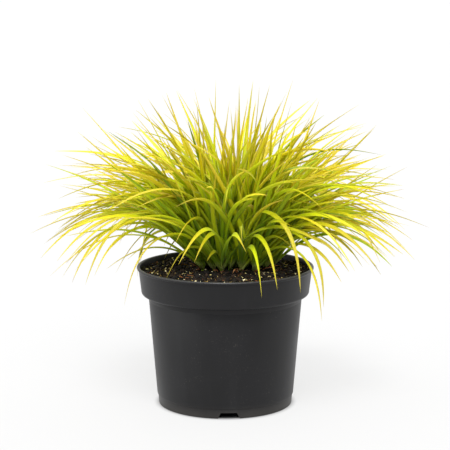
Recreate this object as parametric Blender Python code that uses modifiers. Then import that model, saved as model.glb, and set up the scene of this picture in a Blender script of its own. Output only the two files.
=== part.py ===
"""Potted ornamental grass clump: a moulded nursery pot, its soil and the shoots of the grass.

Run with: blender --background --python part.py
Metres, +Z up. The pot stands on z = 0, on the world Z axis; its front is -Y.
"""
import math
import random

import bmesh
import bpy
from mathutils import Matrix, Vector
from mathutils.bvhtree import BVHTree

MM = 0.001

# ---------------------------------------------------------------- driving dimensions
POT_SEGMENTS = 44
RIM_RADIUS = 85.0 * MM          # over the lip bead
POT_HEIGHT = 134.2 * MM
WALL = 1.4 * MM
BAND_TOP_RADIUS = 83.2 * MM     # rim band, just under the lip bead
BAND_LOW_RADIUS = 80.8 * MM
BAND_UNDERSIDE = 106.9 * MM
BAND_CORNER = 3.2 * MM          # rounded lower corner of the band
BODY_TOP_RADIUS = 74.0 * MM
BODY_LOW_RADIUS = 66.0 * MM
FOOT_TOP = 9.2 * MM             # small step in the wall, above the foot skirt
FOOT_TOP_RADIUS = 65.2 * MM
FOOT_RADIUS = 64.4 * MM
FOOT_RING_WIDTH = 2.6 * MM
FLOOR_UNDERSIDE = 6.0 * MM
FLOOR_TOP = 7.5 * MM

NOTCHES = 3                     # drainage notches in the foot skirt
NOTCH_FIRST_ANGLE = math.radians(-87.0)
NOTCH_LOW_WIDTH = 21.0 * MM
NOTCH_TOP_WIDTH = 15.0 * MM
HOLES = 6                       # drainage holes in the floor, and one more at its centre
HOLE_RADIUS = 4.5 * MM
HOLE_CIRCLE_RADIUS = 44.0 * MM

GAP = 0.3 * MM                  # left between pieces that touch
SOIL_SEGMENTS = 24
SOIL_CROWN_Z = 130.0 * MM       # the soil, a little higher round the shoots
SOIL_CROWN_RADIUS = 47.0 * MM
SOIL_EDGE_Z = 129.4 * MM

SHOOTS = 36
CROWN_CENTRE = Vector((8.0, 13.0, 0.0)) * MM
CROWN_RADIUS_X = 39.0 * MM
CROWN_RADIUS_Y = 30.0 * MM
GOLDEN_ANGLE = math.radians(137.508)
SHEATH_RADIUS = 2.5 * MM
SHEATH_LENGTH = 15.0 * MM
POCKET_DEPTH = 4.5 * MM         # how far a shoot stands in the soil
LEAF_START_Z = SOIL_CROWN_Z + 3.0 * MM
LEAF_START_OUT = 0.4 * MM       # leaves leave the sheath a little off its middle

MOST_LEAVES = 4                 # solid leaves on a shoot
LEAST_LEAVES = 3
LEAF_TRIES = 40
CHOSEN_TRIES = 9                # how many shoots near its base a chosen leaf may grow from
LEAF_THICKNESS = 0.15           # of its width, at the keel
LEAF_EDGE_LIFT = 0.17           # of its width: how far the edges stand above the keel
CLEARANCE = 1.0 * MM            # kept between the leaves of different shoots
RIM_CLEARANCE = 2.0 * MM
DRY_SHEATH_PLACE = Vector((11.0, -24.0, 130.9)) * MM
DRY_SHEATH_TURN = math.radians(-110)
DRY_SHEATH_LENGTH = 15.0 * MM
DRY_SHEATH_WIDTH = 2.4 * MM
SPREAD_X = 184.0 * MM           # the clump's half width
SPREAD_Y = 172.0 * MM
CLUMP_TOP_Z = 312.0 * MM
CLUMP_WIDEST_Z = 161.0 * MM
LOWEST_TIP_Z = 104.0 * MM

# Leaves chosen one by one, because they give the clump its outline and its front.
# (base x, base y) from the crown's centre, (tip x, tip y, tip z), lean at the base in degrees,
# width; lengths in mm.
CHOSEN_LEAVES = [
    # the two broad ones at the far right
    ((38, -2), (177, -40, 147), 36, 6.6),
    ((36, 6), (189, -50, 179), 42, 6.2),
    # upright leaves at the top
    ((-16, 8), (-9, 5, 312), 2, 6.0),
    ((10, 2), (13, -5, 308), 3, 5.4),
    ((20, 12), (65, 34, 310), 6, 4.6),
    ((12, 16), (42, 12, 306), 4, 4.2),
    ((-26, 2), (-72, -12, 295), 6, 6.6),
    ((-22, 14), (-56, 18, 298), 8, 6.0),
    ((-4, 22), (-46, 34, 299), 4, 5.2),
    ((-36, 2), (-134, -12, 287), 31, 6.4),
    ((36, 2), (142, -12, 271), 33, 6.0),
    ((16, -4), (88, 22, 293), 6, 5.4),
    ((28, -8), (88, -14, 295), 16, 5.4),
    ((22, 22), (130, 44, 285), 12, 4.2),
    ((-10, 30), (-30, 46, 301), 4, 4.4),
    # left side
    ((-34, -4), (-151, -30, 244), 30, 6.6),
    ((-36, -12), (-147, -54, 233), 38, 5.8),
    ((-38, 8), (-186, 58, 171), 44, 5.2),
    ((-32, -14), (-169, -42, 162), 34, 4.8),
    ((-34, 16), (-166, 48, 171), 36, 4.6),
    ((-30, -18), (-152, -46, 131), 36, 5.0),
    ((-20, -18), (-128, -72, 130), 24, 5.6),
    ((-36, -8), (-112, -32, 136), 54, 4.6),
    ((-22, -18), (-92, -84, 113), 36, 6.0),
    ((-30, 20), (-176, 34, 209), 26, 4.4),
    # front
    ((-22, -16), (-54, -76, 136), 40, 5.4),
    ((-14, -10), (-46, -88, 169), 16, 6.2),
    ((-6, -18), (-28, -88, 154), 24, 5.6),
    ((-12, -20), (-17, -46, 147), 16, 4.6),
    ((2, -26), (33, -96, 122), 38, 5.4),
    ((8, -20), (47, -94, 129), 26, 5.4),
    ((0, -18), (68, -90, 126), 14, 6.2),
    ((18, -22), (64, -74, 161), 24, 5.6),
    ((24, -18), (88, -84, 98), 48, 6.4),
    ((22, -12), (90, -74, 109), 30, 5.8),
    ((32, -14), (107, -64, 130), 44, 5.0),
    # right side
    ((30, -10), (115, -48, 137), 34, 6.0),
    ((36, -8), (135, -42, 142), 36, 5.0),
    ((30, 12), (154, 22, 239), 26, 5.0),
    ((36, 14), (166, 40, 208), 36, 4.8),
    ((38, 10), (180, 34, 167), 48, 4.6),
    ((34, 20), (160, 26, 135), 48, 4.4),
    # back
    ((-14, 36), (-64, 172, 197), 32, 5.6),
    ((10, 38), (34, 175, 181), 38, 5.6),
    ((-2, 38), (-12, 150, 247), 26, 5.8),
    ((26, 30), (104, 140, 161), 40, 5.4),
    ((-28, 28), (-118, 128, 151), 40, 5.4),
    ((16, 32), (52, 118, 129), 44, 5.0),
    ((8, -26), (14, -172, 187), 44, 5.2),
    ((-10, -24), (-40, -166, 167), 44, 5.2),
]

# ---------------------------------------------------------------- scene helpers


def clear_scene():
    """Remove the objects that a new file holds."""
    for obj in list(bpy.data.objects):
        bpy.data.objects.remove(obj, do_unlink=True)


def make_collection(name):
    collection = bpy.data.collections.new(name)
    bpy.context.scene.collection.children.link(collection)
    return collection


def make_material(name, colour, roughness, metallic=0.0):
    material = bpy.data.materials.new(name)
    material.use_nodes = True
    shader = material.node_tree.nodes["Principled BSDF"]
    shader.inputs["Base Color"].default_value = (*colour, 1.0)
    shader.inputs["Roughness"].default_value = roughness
    shader.inputs["Metallic"].default_value = metallic
    material.diffuse_color = (*colour, 1.0)
    return material


def add_object(name, data, collection, material=None):
    obj = bpy.data.objects.new(name, data)
    collection.objects.link(obj)
    if material:
        data.materials.append(material)
    return obj


def as_cutter(obj):
    obj.hide_render = True
    obj.display_type = "WIRE"
    return obj


def turned_mesh(name, outline):
    """A mesh of one open outline in the XZ plane, for a Screw modifier to turn."""
    mesh = bpy.data.meshes.new(name)
    edges = [(i, i + 1) for i in range(len(outline) - 1)]
    mesh.from_pydata([(r, 0.0, z) for r, z in outline], edges, [])
    return mesh


def add_screw(obj, steps):
    screw = obj.modifiers.new("Turn", "SCREW")
    screw.angle = math.tau
    screw.steps = steps
    screw.render_steps = steps
    screw.use_merge_vertices = True
    screw.merge_threshold = 0.00001
    screw.use_smooth_shade = False
    return screw


def add_cut(obj, cutter):
    cut = obj.modifiers.new("Cut " + cutter.name, "BOOLEAN")
    cut.operation = "DIFFERENCE"
    cut.solver = "EXACT"
    cut.object = cutter
    return cut


def arc(centre, radius, start, end, count):
    """Points of a round stretch of an outline; angles in degrees."""
    points = []
    for i in range(count + 1):
        angle = math.radians(start + (end - start) * i / count)
        points.append((centre[0] + radius * math.cos(angle), centre[1] + radius * math.sin(angle)))
    return points


# ---------------------------------------------------------------- the pot


def pot_inside_outline():
    """The inner surface, from the floor's edge up to the lip."""
    shelf = BAND_UNDERSIDE + WALL
    return [
        (BODY_LOW_RADIUS - WALL - 3.0 * MM, FLOOR_TOP),
        (BODY_LOW_RADIUS - WALL, FLOOR_TOP + 3.0 * MM),
        (BODY_TOP_RADIUS - WALL, shelf - 0.6 * MM),
        (BODY_TOP_RADIUS - WALL + 0.8 * MM, shelf),
        (BAND_LOW_RADIUS - WALL - 0.6 * MM, shelf + 0.6 * MM),
        (BAND_TOP_RADIUS - WALL, POT_HEIGHT - 2.6 * MM),
    ]


def pot_outline():
    """The pot's half section: up the inside, over the lip, down the outside, under the floor."""
    bead_radius = 1.5 * MM
    bead = (RIM_RADIUS - bead_radius, POT_HEIGHT - bead_radius)
    lip = [(BAND_TOP_RADIUS - WALL + 0.6 * MM, POT_HEIGHT - 0.4 * MM)]
    lip += arc(bead, bead_radius, 100, -70, 3)
    corner = (BAND_LOW_RADIUS - BAND_CORNER, BAND_UNDERSIDE + BAND_CORNER)
    outside = [(BAND_TOP_RADIUS, POT_HEIGHT - 3.4 * MM)]
    outside += arc(corner, BAND_CORNER, 0, -90, 2)
    outside += [
        (BODY_TOP_RADIUS, BAND_UNDERSIDE - 0.3 * MM),
        (BODY_LOW_RADIUS, FOOT_TOP + 0.4 * MM),
        (FOOT_TOP_RADIUS, FOOT_TOP - 0.2 * MM),
        (FOOT_RADIUS, 0.0),
    ]
    under = [
        (FOOT_RADIUS - FOOT_RING_WIDTH, 0.0),
        (FOOT_RADIUS - FOOT_RING_WIDTH - 0.2 * MM, FLOOR_UNDERSIDE),
        (0.0, FLOOR_UNDERSIDE),
    ]
    return [(0.0, FLOOR_TOP)] + pot_inside_outline() + lip + outside + under


def notch_cutter(collection):
    """Trapezoid blocks that open the foot skirt, wider at the ground."""
    curve = bpy.data.curves.new("notch_cutter", "CURVE")
    curve.dimensions = "2D"
    curve.fill_mode = "BOTH"
    curve.extrude = 4.0 * MM
    top = FLOOR_UNDERSIDE - 0.3 * MM
    low = -2.0 * MM
    flare = (NOTCH_LOW_WIDTH - NOTCH_TOP_WIDTH) / 2 / top
    outline = [
        (-NOTCH_TOP_WIDTH / 2, top),
        (NOTCH_TOP_WIDTH / 2, top),
        (NOTCH_LOW_WIDTH / 2 - flare * low, low),
        (-NOTCH_LOW_WIDTH / 2 + flare * low, low),
    ]
    spline = curve.splines.new("POLY")
    spline.points.add(len(outline) - 1)
    for point, (x, y) in zip(spline.points, outline):
        point.co = (x, y, 0.0, 1.0)
    spline.use_cyclic_u = True
    block = add_object("notch_block", curve, collection)
    block_mesh = evaluated_mesh(block)
    bpy.data.objects.remove(block, do_unlink=True)

    blocks = bmesh.new()
    for i in range(NOTCHES):
        angle = NOTCH_FIRST_ANGLE + math.tau * i / NOTCHES
        middle = FOOT_RADIUS - FOOT_RING_WIDTH / 2
        place = (
            Matrix.Rotation(angle + math.pi / 2, 4, "Z")
            @ Matrix.Translation((0.0, -middle, 0.0))
            @ Matrix.Rotation(math.pi / 2, 4, "X")
        )
        piece = bmesh.new()
        piece.from_mesh(block_mesh)
        piece.transform(place)
        add_bmesh(blocks, piece)
    return cutter_from_bmesh("notch_cutter", blocks, collection)


def hole_cutter(collection):
    """Upright plugs that pierce the floor."""
    plugs = bmesh.new()
    spots = [Vector((0.0, 0.0, 0.0))]
    for i in range(HOLES):
        angle = math.tau * (i + 0.5) / HOLES + NOTCH_FIRST_ANGLE
        spots.append(Vector((math.cos(angle), math.sin(angle), 0.0)) * HOLE_CIRCLE_RADIUS)
    for spot in spots:
        spot.z = (FLOOR_UNDERSIDE + FLOOR_TOP) / 2
        bmesh.ops.create_cone(
            plugs,
            cap_ends=True,
            segments=12,
            radius1=HOLE_RADIUS,
            radius2=HOLE_RADIUS,
            depth=6.0 * MM,
            matrix=Matrix.Translation(spot),
        )
    return cutter_from_bmesh("hole_cutter", plugs, collection)


def cutter_from_bmesh(name, shape, collection):
    bmesh.ops.remove_doubles(shape, verts=shape.verts, dist=0.000001)
    bmesh.ops.recalc_face_normals(shape, faces=shape.faces)
    mesh = bpy.data.meshes.new(name)
    shape.to_mesh(mesh)
    shape.free()
    return as_cutter(add_object(name, mesh, collection))


def add_bmesh(target, piece):
    """Copy one bmesh into another and free it."""
    mesh = bpy.data.meshes.new("copy")
    piece.to_mesh(mesh)
    piece.free()
    target.from_mesh(mesh)
    bpy.data.meshes.remove(mesh)


def build_pot(parts, cutters):
    plastic = make_material("charcoal_plastic", (0.036, 0.036, 0.038), 0.42)
    pot = add_object("pot", turned_mesh("pot", pot_outline()), parts, plastic)
    add_screw(pot, POT_SEGMENTS)
    add_cut(pot, notch_cutter(cutters))
    add_cut(pot, hole_cutter(cutters))
    return pot


# ---------------------------------------------------------------- the soil


def soil_outline():
    """The soil's half section: the top from the axis out, then down inside the pot's wall."""
    half_turn = math.pi / SOIL_SEGMENTS
    pot_flat = math.cos(math.pi / POT_SEGMENTS)

    def inside(radius):
        return radius * pot_flat - GAP * (1 + half_turn)

    floor_edge, wall_low, wall_top, step, band_low, band_top = pot_inside_outline()
    slope = (band_top[0] - band_low[0]) / (band_top[1] - band_low[1])
    edge = inside(band_low[0] + slope * (SOIL_EDGE_Z - band_low[1]))
    fall = SOIL_CROWN_Z - SOIL_EDGE_Z
    top = [
        (0.0, SOIL_CROWN_Z),
        (SOIL_CROWN_RADIUS, SOIL_CROWN_Z),
        (SOIL_CROWN_RADIUS + 0.3 * (edge - SOIL_CROWN_RADIUS), SOIL_CROWN_Z - 0.2 * fall),
        (SOIL_CROWN_RADIUS + 0.8 * (edge - SOIL_CROWN_RADIUS), SOIL_CROWN_Z - 0.9 * fall),
        (edge, SOIL_EDGE_Z),
    ]
    side = [
        (inside(band_low[0]), band_low[1] + GAP),
        (inside(step[0]), step[1] + GAP),
        (inside(wall_top[0]), wall_top[1]),
        (inside(wall_low[0]), wall_low[1]),
        (inside(floor_edge[0]), floor_edge[1] + GAP),
        (0.0, floor_edge[1] + GAP),
    ]
    return top + side


def pocket_cutter(spots, collection):
    """Six-sided pockets in which the shoots stand."""
    pockets = bmesh.new()
    for spot in spots:
        low = SOIL_CROWN_Z - POCKET_DEPTH - GAP
        high = SOIL_CROWN_Z + 3.0 * MM
        bmesh.ops.create_cone(
            pockets,
            cap_ends=True,
            segments=6,
            radius1=SHEATH_RADIUS + 0.45 * MM,
            radius2=SHEATH_RADIUS + 0.45 * MM,
            depth=high - low,
            matrix=Matrix.Translation((spot.x, spot.y, (low + high) / 2)),
        )
    return cutter_from_bmesh("pocket_cutter", pockets, collection)


def build_soil(parts, cutters, spots):
    earth = make_material("potting_mix", (0.022, 0.014, 0.010), 0.95)
    soil = add_object("soil", turned_mesh("soil", soil_outline()), parts, earth)
    add_screw(soil, SOIL_SEGMENTS)
    add_cut(soil, pocket_cutter(spots, cutters))
    return soil


# ---------------------------------------------------------------- leaf geometry


def evaluated_mesh(obj):
    bpy.context.view_layer.update()
    graph = bpy.context.evaluated_depsgraph_get()
    mesh = bpy.data.meshes.new_from_object(obj.evaluated_get(graph))
    return mesh


def bend(lean, droop, steps):
    """A leaf of unit length in its own upright plane: (out, up) points.

    It is straight near its base and its tip, and bends most halfway along.
    """
    points = [(0.0, 0.0)]
    for i in range(steps):
        share = (i + 0.5) / steps
        angle = lean + droop * share**2 * (3.0 - 2.0 * share)
        out, up = points[-1]
        points.append((out + math.sin(angle) / steps, up + math.cos(angle) / steps))
    return points


def droop_to_reach(lean, out, up):
    """The droop that points a leaf's tip along (out, up), and the length that reaches it."""
    target = math.atan2(out, up)
    low, high = math.radians(-60), math.radians(230)
    for _ in range(40):
        droop = (low + high) / 2
        end = bend(lean, droop, 40)[-1]
        if math.atan2(end[0], end[1]) < target:
            low = droop
        else:
            high = droop
    return droop, math.hypot(out, up) / math.hypot(*end)


def leaf_place(leaf):
    """The matrix that moves a leaf from its own XZ plane to its shoot."""
    base, azimuth = leaf[:2]
    start = Vector((LEAF_START_OUT, 0.0, -LEAF_START_OUT * math.cos(3 * azimuth)))
    turn = Matrix.Rotation(azimuth, 4, "Z")
    return Matrix.Translation(base) @ turn @ Matrix.Translation(start)


def leaf_curve(leaf, steps):
    """Points along a leaf's keel in its own XZ plane, from its base to its tip."""
    _, _, lean, droop, length, _ = leaf
    return [Vector((x * length, 0.0, z * length)) for x, z in bend(lean, droop, steps)]


def leaf_path(leaf, steps):
    """Points along a leaf's keel where it grows."""
    place = leaf_place(leaf)
    return [place @ point for point in leaf_curve(leaf, steps)]


def leaf_width(share):
    """Width along a leaf, as a share of its widest: narrow base, long fine tip."""
    return min(1.0, 0.55 + 1.6 * share) * (1.0 - 0.96 * share**2.4)


def sweep(name, path, radii, section):
    """A tapered solid along a path, from a curve and a profile curve that each radius scales."""
    curve = bpy.data.curves.new(name, "CURVE")
    curve.dimensions = "3D"
    curve.twist_mode = "MINIMUM"
    curve.use_fill_caps = True
    curve.bevel_mode = "OBJECT"
    curve.bevel_object = section
    spline = curve.splines.new("POLY")
    spline.points.add(len(path) - 1)
    for point, co, radius in zip(spline.points, path, radii):
        point.co = (*co, 1.0)
        point.radius = radius
    obj = bpy.data.objects.new(name, curve)
    bpy.context.scene.collection.objects.link(obj)
    mesh = evaluated_mesh(obj)
    bpy.data.objects.remove(obj, do_unlink=True)
    bpy.data.curves.remove(curve)
    shape = bmesh.new()
    shape.from_mesh(mesh)
    bmesh.ops.remove_doubles(shape, verts=shape.verts, dist=0.000001)
    bmesh.ops.recalc_face_normals(shape, faces=shape.faces)
    shape.to_mesh(mesh)
    shape.free()
    return mesh


def section_curve(name, outline):
    """A closed profile, one unit wide, for sweep to scale."""
    curve = bpy.data.curves.new(name, "CURVE")
    curve.dimensions = "2D"
    spline = curve.splines.new("POLY")
    spline.points.add(len(outline) - 1)
    for point, (x, y) in zip(spline.points, outline):
        point.co = (x, y, 0.0, 1.0)
    spline.use_cyclic_u = True
    obj = bpy.data.objects.new(name, curve)
    bpy.context.scene.collection.objects.link(obj)
    return as_cutter(obj)


def leaf_mesh(leaf, section, grow=0.0):
    steps = 5 + int(abs(math.degrees(leaf[3])) / 45)
    radii = [leaf[5] * leaf_width(i / steps) + grow for i in range(steps + 1)]
    mesh = sweep("leaf", leaf_curve(leaf, steps), radii, section)
    mesh.transform(leaf_place(leaf))
    return mesh


def tree_of(mesh):
    shape = bmesh.new()
    shape.from_mesh(mesh)
    tree = BVHTree.FromBMesh(shape)
    shape.free()
    return tree


# ---------------------------------------------------------------- the shoots


def crown_spots():
    """Where the shoots stand: an even spiral over the crown. (spot, share of radius, angle)."""
    spots = []
    for i in range(SHOOTS):
        share = math.sqrt((i + 0.5) / SHOOTS)
        angle = i * GOLDEN_ANGLE
        x = CROWN_RADIUS_X * share * math.cos(angle)
        y = CROWN_RADIUS_Y * share * math.sin(angle)
        spots.append((CROWN_CENTRE + Vector((x, y, LEAF_START_Z)), share, math.atan2(y, x)))
    return spots


def nearest_shoots(spots, record):
    """The shoots nearest the base that CHOSEN_LEAVES gives, nearest first."""
    wanted = CROWN_CENTRE.xy + Vector(record[0]) * MM
    order = sorted(range(len(spots)), key=lambda i: (spots[i][0].xy - wanted).length)
    return order[:CHOSEN_TRIES]


def chosen_leaf(base, record):
    """A leaf from CHOSEN_LEAVES, grown from one shoot's base."""
    _, tip, lean, width = record
    reach = Vector(tip) * MM - base
    lean = math.radians(lean)
    droop, length = droop_to_reach(lean, reach.xy.length, reach.z)
    azimuth = math.atan2(reach.y, reach.x)
    return (base, azimuth, lean, droop, length, width * MM)


def grown_leaf(spot, share, angle, draw):
    """A leaf drawn at random: upright at the crown's middle, arching outward at its edge."""
    age = draw.random()
    azimuth = angle + draw.gauss(0.0, math.radians(62 - 34 * share))
    lean = math.radians(max(2.0, 2 + 50 * share**1.2 + 12 * (age - 0.5) + draw.gauss(0, 4)))
    droop = math.radians(16 + 100 * age * (0.4 + 0.6 * share) + draw.gauss(0, 8))
    length = (150 + 60 * draw.random() + 20 * share * age) * MM
    width = draw.uniform(4.2, 6.0) * MM
    return (spot, azimuth, lean, droop, length, width)


def inside_clump(leaf):
    """Whether a leaf keeps within the clump's outline and clear of the rim and the ground."""
    for point in leaf_path(leaf, 24):
        end_z = CLUMP_TOP_Z if point.z > CLUMP_WIDEST_Z else LOWEST_TIP_Z
        rise = (point.z - CLUMP_WIDEST_Z) / (end_z - CLUMP_WIDEST_Z)
        if abs(point.x / SPREAD_X) ** 2.5 + abs(point.y / SPREAD_Y) ** 2.5 + rise**2.5 > 1.0:
            return False
    return True


def clear_of_pot(leaf):
    reach = leaf[5] / 2 + RIM_CLEARANCE
    for point in leaf_path(leaf, 60):
        outside = point.xy.length > RIM_RADIUS + reach
        if point.z < POT_HEIGHT + reach and not outside:
            within = point.xy.length < BAND_LOW_RADIUS - WALL - reach
            if not within or point.z < SOIL_CROWN_Z + 0.6 * MM:
                return False
    return True


def apart_from_sisters(leaf, sisters):
    """Leaves of one shoot part soon after their base and don't meet again."""
    path = leaf_path(leaf, 30)
    for sister in sisters:
        other = leaf_path(sister, 30)
        for i in range(6, 31):
            for j in range(6, 31):
                if (path[i] - other[j]).length < 4.5 * MM:
                    return False
    return True


def sheath_path(spot, leaves):
    """Straight up out of the soil, then along the mean direction of the shoot's leaves."""
    foot = Vector((spot.x, spot.y, SOIL_CROWN_Z - POCKET_DEPTH))
    along = Vector((0.0, 0.0, 0.0))
    for _, azimuth, lean, _, _, _ in leaves:
        out = math.sin(lean)
        along += Vector((out * math.cos(azimuth), out * math.sin(azimuth), math.cos(lean)))
    along.normalize()
    return [foot, spot - along * 0.2 * MM, spot + along * SHEATH_LENGTH]


def sheath_mesh(spot, leaves, section):
    radii = [SHEATH_RADIUS, SHEATH_RADIUS, 0.45 * SHEATH_RADIUS]
    return sweep("sheath", sheath_path(spot, leaves), radii, section)


def choose_leaves(spots, section):
    """The solid leaves of every shoot, kept clear of the leaves of every other shoot."""
    chosen = [[] for _ in spots]
    taken = []

    def accept(index, leaf):
        tree = tree_of(leaf_mesh(leaf, section, CLEARANCE))
        for other_index, other in taken:
            if other_index != index and tree.overlap(other):
                return False
        taken.append((index, tree))
        chosen[index].append(leaf)
        return True

    for number, record in enumerate(CHOSEN_LEAVES):
        for index in nearest_shoots(spots, record):
            leaf = chosen_leaf(spots[index][0], record)
            fits = len(chosen[index]) < MOST_LEAVES and clear_of_pot(leaf)
            if fits and apart_from_sisters(leaf, chosen[index]) and accept(index, leaf):
                break
        else:
            print("no room for chosen leaf", number, record)
    draws = [random.Random(200 + i) for i in range(len(spots))]
    for goal in range(1, LEAST_LEAVES + 1):
        for index, (spot, share, angle) in enumerate(spots):
            for _ in range(LEAF_TRIES):
                if len(chosen[index]) >= goal:
                    break
                leaf = grown_leaf(spot, share, angle, draws[index])
                fits = inside_clump(leaf) and clear_of_pot(leaf)
                if fits and apart_from_sisters(leaf, chosen[index]):
                    accept(index, leaf)
    return chosen


def joined(name, meshes):
    """One closed solid from several that overlap, by Boolean union."""
    pieces = bpy.data.collections.new("pieces")
    bpy.context.scene.collection.children.link(pieces)
    body = add_object("body", meshes[0], bpy.context.scene.collection)
    for i, mesh in enumerate(meshes[1:]):
        add_object(f"piece_{i}", mesh, pieces)
    union = body.modifiers.new("Join", "BOOLEAN")
    union.operation = "UNION"
    union.solver = "EXACT"
    union.operand_type = "COLLECTION"
    union.collection = pieces
    result = evaluated_mesh(body)
    result.name = name
    keep_outer_skin(result)
    for obj in list(pieces.objects) + [body]:
        bpy.data.objects.remove(obj, do_unlink=True)
    bpy.data.collections.remove(pieces)
    return result


def keep_outer_skin(mesh):
    """Fill the small voids that leaves pressed together leave between them."""
    shape = bmesh.new()
    shape.from_mesh(mesh)
    islands = []
    seen = set()
    for start in shape.verts:
        if start in seen:
            continue
        island = []
        stack = [start]
        seen.add(start)
        while stack:
            vert = stack.pop()
            island.append(vert)
            for edge in vert.link_edges:
                other = edge.other_vert(vert)
                if other not in seen:
                    seen.add(other)
                    stack.append(other)
        islands.append(island)
    islands.sort(key=len)
    for island in islands[:-1]:
        bmesh.ops.delete(shape, geom=island, context="VERTS")
    shape.to_mesh(mesh)
    shape.free()


def build_dry_sheath(parts, section):
    """The small dry sheath that has curled over in front of the shoots."""
    straw = make_material("dry_sheath", (0.24, 0.105, 0.045), 0.8)
    place = Matrix.Translation(DRY_SHEATH_PLACE) @ Matrix.Rotation(DRY_SHEATH_TURN, 4, "Z")
    curl = bend(math.radians(25), math.radians(120), 6)
    path = [Vector((x, 0.0, z)) * DRY_SHEATH_LENGTH for x, z in curl]
    radii = [DRY_SHEATH_WIDTH * leaf_width(i / 6) for i in range(7)]
    mesh = sweep("dry_sheath", path, radii, section)
    mesh.transform(place)
    return add_object("dry_sheath", mesh, parts, straw)


def build_shoots(parts, spots):
    blade = section_curve(
        "leaf_section",
        [
            (-0.5, LEAF_EDGE_LIFT),
            (0.0, -LEAF_THICKNESS / 2),
            (0.5, LEAF_EDGE_LIFT),
            (0.0, LEAF_THICKNESS / 2),
        ],
    )
    wide = section_curve("clear_section", [(-0.5, 0.0), (0.0, -0.22), (0.5, 0.0), (0.0, 0.3)])
    round_section = section_curve("round_section", arc((0.0, 0.0), 1.0, 0, 300, 5))
    chosen = choose_leaves(spots, wide)
    for index, (spot, share, _) in enumerate(spots):
        leaves = chosen[index]
        meshes = [sheath_mesh(spot, leaves, round_section)]
        meshes += [leaf_mesh(leaf, blade) for leaf in leaves]
        name = f"shoot_{index + 1:02d}"
        mesh = joined(name, meshes)
        green = 0.35 + 0.65 * share
        colour = (0.50 + 0.12 * green, 0.52 - 0.03 * green, 0.030)
        add_object(name, mesh, parts, make_material("grass_" + name, colour, 0.5))
    print("solid leaves:", sum(len(leaves) for leaves in chosen))
    build_dry_sheath(parts, blade)
    for obj in (blade, wide, round_section):
        bpy.data.objects.remove(obj, do_unlink=True)


# ---------------------------------------------------------------- the whole part


def main():
    clear_scene()
    parts = make_collection("potted_ornamental_grass")
    cutters = make_collection("cutters")
    spots = crown_spots()
    build_pot(parts, cutters)
    build_soil(parts, cutters, [spot for spot, _, _ in spots])
    build_shoots(parts, spots)


main()
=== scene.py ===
"""Looks of the potted ornamental grass clump: pot, soil, every leaf, light and camera."""
import math
import random

import bmesh
import bpy
import numpy as np
from mathutils import Matrix, Vector, noise
from mathutils.bvhtree import BVHTree


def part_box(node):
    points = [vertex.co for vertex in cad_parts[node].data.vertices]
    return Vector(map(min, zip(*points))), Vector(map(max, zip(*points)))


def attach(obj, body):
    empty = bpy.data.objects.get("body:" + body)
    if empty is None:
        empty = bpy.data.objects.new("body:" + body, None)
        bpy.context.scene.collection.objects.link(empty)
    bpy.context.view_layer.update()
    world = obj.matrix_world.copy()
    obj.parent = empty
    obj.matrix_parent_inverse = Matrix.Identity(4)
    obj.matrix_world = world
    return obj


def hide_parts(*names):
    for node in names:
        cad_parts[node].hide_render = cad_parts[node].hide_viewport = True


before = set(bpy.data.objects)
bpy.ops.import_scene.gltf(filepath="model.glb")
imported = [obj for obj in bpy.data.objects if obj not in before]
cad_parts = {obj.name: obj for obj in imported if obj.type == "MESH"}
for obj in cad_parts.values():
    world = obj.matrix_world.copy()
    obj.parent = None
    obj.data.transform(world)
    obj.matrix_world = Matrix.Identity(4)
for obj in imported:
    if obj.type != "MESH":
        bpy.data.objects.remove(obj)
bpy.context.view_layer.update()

MM = 0.001
BODY = "root"

# ---------------------------------------------------------------- the pot and the soil, as in part.py
POT_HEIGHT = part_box("pot")[1][2]
RIM_RADIUS = 85.0 * MM
WALL = 1.4 * MM
BAND_TOP_RADIUS = 83.2 * MM
BAND_LOW_RADIUS = 80.8 * MM
BAND_UNDERSIDE = 106.9 * MM
BAND_CORNER = 3.2 * MM
BODY_TOP_RADIUS = 74.0 * MM
BODY_LOW_RADIUS = 66.0 * MM
FOOT_TOP = 9.2 * MM
FOOT_TOP_RADIUS = 65.2 * MM
FOOT_RADIUS = 64.4 * MM
FOOT_RING_WIDTH = 2.6 * MM
FLOOR_UNDERSIDE = 6.0 * MM
FLOOR_TOP = 7.5 * MM
NOTCHES = 3
NOTCH_FIRST_ANGLE = math.radians(-87.0)
NOTCH_LOW_WIDTH = 21.0 * MM
NOTCH_TOP_WIDTH = 15.0 * MM
HOLES = 6
HOLE_RADIUS = 4.5 * MM
HOLE_CIRCLE_RADIUS = 44.0 * MM
LIP_BEAD_RADIUS = 1.5 * MM
MOULD_LINE_DEPTH = 5.2 * MM     # of the line left by the mould, below the band
POT_STEPS = 192                 # round the pot

SOIL_CROWN_Z = 130.0 * MM
SOIL_CROWN_RADIUS = 47.0 * MM
SOIL_EDGE_Z = 129.4 * MM
SOIL_EDGE_RADIUS = 81.2 * MM
SOIL_STEPS = 320                # round the soil
SOIL_RINGS = 110                # from its middle to its edge
SOIL_GAP = 0.4 * MM             # left between the soil and the pot

# ---------------------------------------------------------------- the clump, as part.py grows it
SHOOTS = 36
CROWN_CENTRE = Vector((8.0, 13.0, 0.0)) * MM
CROWN_RADIUS_X = 39.0 * MM
CROWN_RADIUS_Y = 30.0 * MM
GOLDEN_ANGLE = math.radians(137.508)
LEAF_START_Z = SOIL_CROWN_Z + 3.0 * MM
LEAF_START_OUT = 0.4 * MM
MOST_LEAVES = 4
LEAST_LEAVES = 3
LEAF_TRIES = 40
CHOSEN_TRIES = 9
CLEARANCE = 1.0 * MM
RIM_CLEARANCE = 2.0 * MM
SPREAD_X = 184.0 * MM
SPREAD_Y = 172.0 * MM
CLUMP_TOP_Z = 312.0 * MM
CLUMP_WIDEST_Z = 161.0 * MM
LOWEST_TIP_Z = 104.0 * MM

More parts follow.
